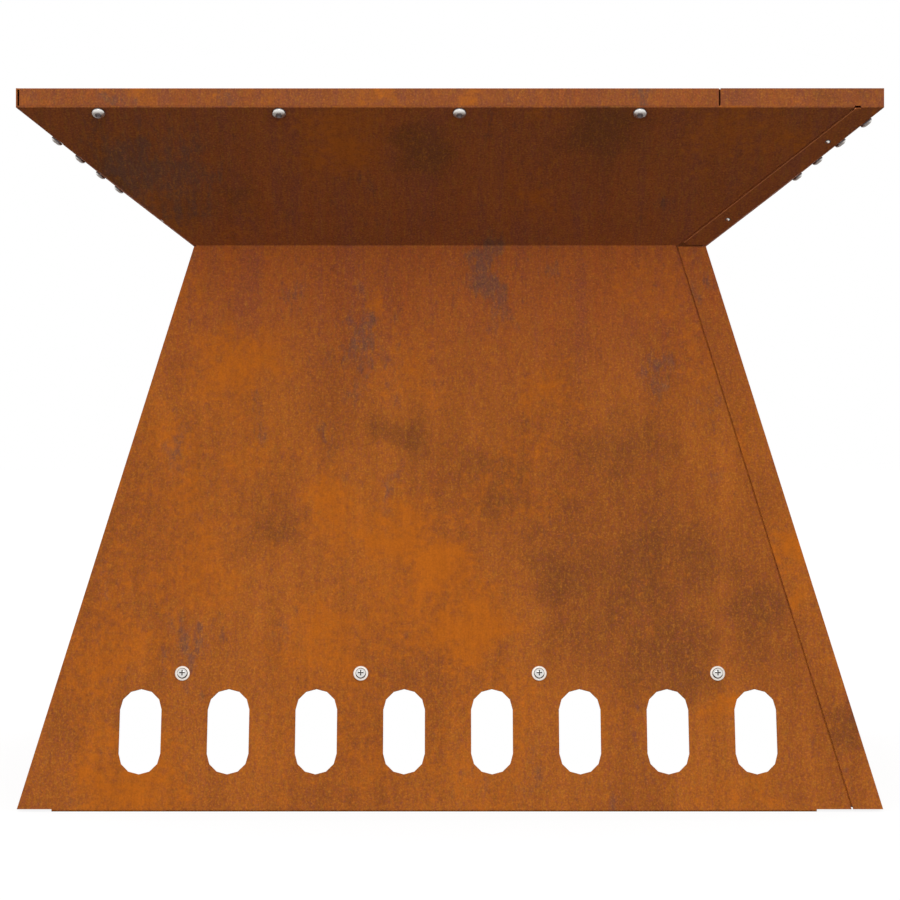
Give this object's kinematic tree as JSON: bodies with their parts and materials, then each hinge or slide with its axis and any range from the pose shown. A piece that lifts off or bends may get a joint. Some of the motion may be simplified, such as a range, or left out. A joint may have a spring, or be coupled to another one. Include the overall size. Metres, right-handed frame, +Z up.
{
  "type": "fire basket",
  "caption": "Square garden fire basket of folded rust-brown weathering steel with a narrow waist, flared funnel top, flat rim ledge and a row of air slots near the foot.",
  "frame": {"origin": "centre of the square foot, on the ground", "axes": "+Z up, +X to the right and +Y away from someone who faces the front, which is -Y"},
  "size_m": [0.601, 0.601, 0.5],
  "materials": {
    "weathering_steel": "matt rust patina",
    "fire_plate_steel": "matt, scorched",
    "stainless_steel": "satin"
  },
  "bodies": {
    "root": {"side_panel_front": "weathering_steel", "side_panel_right": "weathering_steel", "side_panel_back": "weathering_steel", "side_panel_left": "weathering_steel", "rim_board_front": "weathering_steel", "rim_board_right": "weathering_steel", "rim_board_back": "weathering_steel", "rim_board_left": "weathering_steel", "fire_plate": "fire_plate_steel", "floor_screws_front": "stainless_steel", "floor_screws_right": "stainless_steel", "floor_screws_back": "stainless_steel", "floor_screws_left": "stainless_steel", "floor_washers_front": "stainless_steel", "floor_washers_right": "stainless_steel", "floor_washers_back": "stainless_steel", "floor_washers_left": "stainless_steel", "floor_nuts_front": "stainless_steel", "floor_nuts_right": "stainless_steel", "floor_nuts_back": "stainless_steel", "floor_nuts_left": "stainless_steel", "rim_screws_front": "stainless_steel", "rim_screws_right": "stainless_steel", "rim_screws_back": "stainless_steel", "rim_screws_left": "stainless_steel"}
  },
  "joints": []
}
